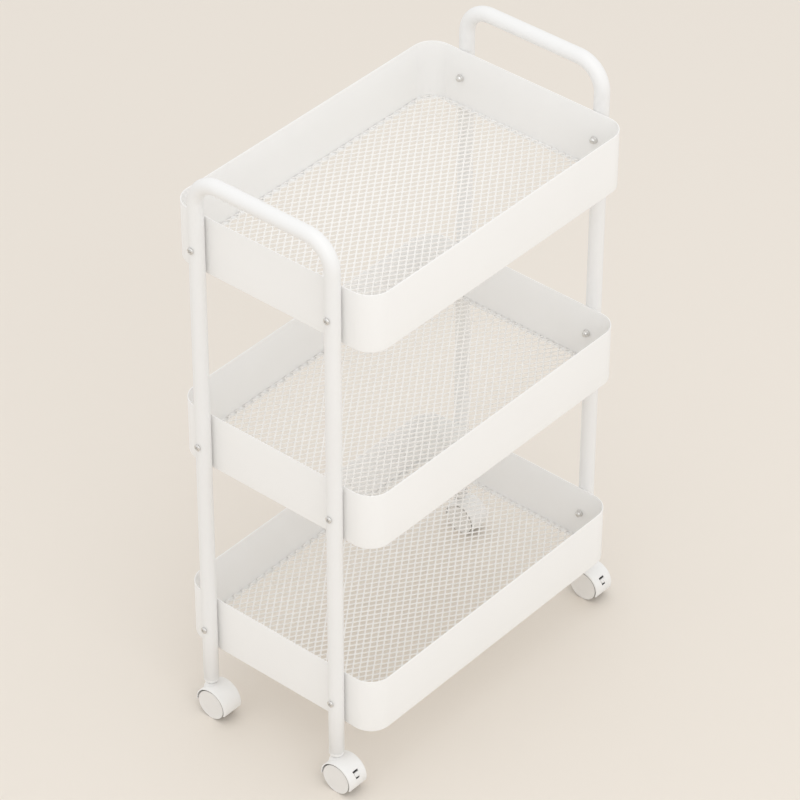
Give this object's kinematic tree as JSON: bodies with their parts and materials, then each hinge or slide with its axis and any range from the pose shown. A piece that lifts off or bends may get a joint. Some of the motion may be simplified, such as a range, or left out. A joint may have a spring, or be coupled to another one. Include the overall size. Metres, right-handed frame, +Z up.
{
  "type": "rolling utility cart",
  "caption": "Rolling utility cart with deep mesh-floored trays between two bent-tube end frames that form handles, on hooded twin-wheel castors with foot brakes at the front.",
  "frame": {"origin": "on the floor, under the middle of the cart", "axes": "+X right along the trays, +Y towards the rear long side, +Z up; the braked castors are at the front, -Y"},
  "size_m": [0.5004, 0.3, 0.792],
  "materials": {
    "painted_steel": "warm off-white powder coat, satin",
    "painted_mesh": "expanded metal under the same warm off-white powder coat",
    "bright_steel": "bright zinc-plated steel",
    "castor_plastic": "off-white moulded plastic, satin",
    "wheel_plastic": "grey-beige moulded plastic, matt"
  },
  "bodies": {
    "cart": {"frame_left": "painted_steel", "frame_right": "painted_steel", "top_tray_band": "painted_steel", "top_tray_mesh": "painted_mesh", "middle_tray_band": "painted_steel", "middle_tray_mesh": "painted_mesh", "bottom_tray_band": "painted_steel", "bottom_tray_mesh": "painted_mesh", "screw_top_front_left": "bright_steel", "nut_top_front_left": "bright_steel", "screw_top_front_right": "bright_steel", "nut_top_front_right": "bright_steel", "screw_top_rear_left": "bright_steel", "nut_top_rear_left": "bright_steel", "screw_top_rear_right": "bright_steel", "nut_top_rear_right": "bright_steel", "screw_middle_front_left": "bright_steel", "nut_middle_front_left": "bright_steel", "screw_middle_front_right": "bright_steel", "nut_middle_front_right": "bright_steel", "screw_middle_rear_left": "bright_steel", "nut_middle_rear_left": "bright_steel", "screw_middle_rear_right": "bright_steel", "nut_middle_rear_right": "bright_steel", "screw_bottom_front_left": "bright_steel", "nut_bottom_front_left": "bright_steel", "screw_bottom_front_right": "bright_steel", "nut_bottom_front_right": "bright_steel", "screw_bottom_rear_left": "bright_steel", "nut_bottom_rear_left": "bright_steel", "screw_bottom_rear_right": "bright_steel", "nut_bottom_rear_right": "bright_steel", "castor_front_left_plug": "castor_plastic", "castor_front_left_stem": "bright_steel", "castor_front_right_plug": "castor_plastic", "castor_front_right_stem": "bright_steel", "castor_rear_left_plug": "castor_plastic", "castor_rear_left_stem": "bright_steel", "castor_rear_right_plug": "castor_plastic", "castor_rear_right_stem": "bright_steel"},
    "castor_front_left": {"castor_front_left_hood": "castor_plastic", "castor_front_left_axle": "bright_steel", "castor_front_left_brake_pin": "bright_steel"},
    "wheel_front_left_outer": {"castor_front_left_wheel_outer": "wheel_plastic"},
    "wheel_front_left_inner": {"castor_front_left_wheel_inner": "wheel_plastic"},
    "brake_front_left": {"castor_front_left_brake_pedal": "castor_plastic"},
    "castor_front_right": {"castor_front_right_hood": "castor_plastic", "castor_front_right_axle": "bright_steel", "castor_front_right_brake_pin": "bright_steel"},
    "wheel_front_right_outer": {"castor_front_right_wheel_outer": "wheel_plastic"},
    "wheel_front_right_inner": {"castor_front_right_wheel_inner": "wheel_plastic"},
    "brake_front_right": {"castor_front_right_brake_pedal": "castor_plastic"},
    "castor_rear_left": {"castor_rear_left_hood": "castor_plastic", "castor_rear_left_axle": "bright_steel"},
    "wheel_rear_left_outer": {"castor_rear_left_wheel_outer": "wheel_plastic"},
    "wheel_rear_left_inner": {"castor_rear_left_wheel_inner": "wheel_plastic"},
    "castor_rear_right": {"castor_rear_right_hood": "castor_plastic", "castor_rear_right_axle": "bright_steel"},
    "wheel_rear_right_outer": {"castor_rear_right_wheel_outer": "wheel_plastic"},
    "wheel_rear_right_inner": {"castor_rear_right_wheel_inner": "wheel_plastic"}
  },
  "joints": [
    {"name": "front_left_swivel", "type": "hinge", "parent": "cart", "child": "castor_front_left", "pos_m": [-0.235, -0.101, 0.0425], "axis": [0, 0, 1], "continuous": true},
    {"name": "front_left_wheel_outer_spin", "type": "hinge", "parent": "castor_front_left", "child": "wheel_front_left_outer", "pos_m": [-0.2445, -0.112, 0.02], "axis": [1, 0, 0], "continuous": true},
    {"name": "front_left_wheel_inner_spin", "type": "hinge", "parent": "castor_front_left", "child": "wheel_front_left_inner", "pos_m": [-0.2255, -0.112, 0.02], "axis": [1, 0, 0], "continuous": true},
    {"name": "front_left_brake_press", "type": "hinge", "parent": "castor_front_left", "child": "brake_front_left", "pos_m": [-0.235, -0.12, 0.03386], "axis": [1, 0, 0], "range_deg": [0, 6]},
    {"name": "front_right_swivel", "type": "hinge", "parent": "cart", "child": "castor_front_right", "pos_m": [0.235, -0.101, 0.0425], "axis": [0, 0, 1], "continuous": true},
    {"name": "front_right_wheel_outer_spin", "type": "hinge", "parent": "castor_front_right", "child": "wheel_front_right_outer", "pos_m": [0.2445, -0.112, 0.02], "axis": [1, 0, 0], "continuous": true},
    {"name": "front_right_wheel_inner_spin", "type": "hinge", "parent": "castor_front_right", "child": "wheel_front_right_inner", "pos_m": [0.2255, -0.112, 0.02], "axis": [1, 0, 0], "continuous": true},
    {"name": "front_right_brake_press", "type": "hinge", "parent": "castor_front_right", "child": "brake_front_right", "pos_m": [0.235, -0.12, 0.03386], "axis": [1, 0, 0], "range_deg": [0, 6]},
    {"name": "rear_left_swivel", "type": "hinge", "parent": "cart", "child": "castor_rear_left", "pos_m": [-0.235, 0.101, 0.0425], "axis": [0, 0, 1], "continuous": true},
    {"name": "rear_left_wheel_outer_spin", "type": "hinge", "parent": "castor_rear_left", "child": "wheel_rear_left_outer", "pos_m": [-0.2445, 0.09, 0.02], "axis": [1, 0, 0], "continuous": true},
    {"name": "rear_left_wheel_inner_spin", "type": "hinge", "parent": "castor_rear_left", "child": "wheel_rear_left_inner", "pos_m": [-0.2255, 0.09, 0.02], "axis": [1, 0, 0], "continuous": true},
    {"name": "rear_right_swivel", "type": "hinge", "parent": "cart", "child": "castor_rear_right", "pos_m": [0.235, 0.101, 0.0425], "axis": [0, 0, 1], "continuous": true},
    {"name": "rear_right_wheel_outer_spin", "type": "hinge", "parent": "castor_rear_right", "child": "wheel_rear_right_outer", "pos_m": [0.2445, 0.09, 0.02], "axis": [1, 0, 0], "continuous": true},
    {"name": "rear_right_wheel_inner_spin", "type": "hinge", "parent": "castor_rear_right", "child": "wheel_rear_right_inner", "pos_m": [0.2255, 0.09, 0.02], "axis": [1, 0, 0], "continuous": true}
  ]
}
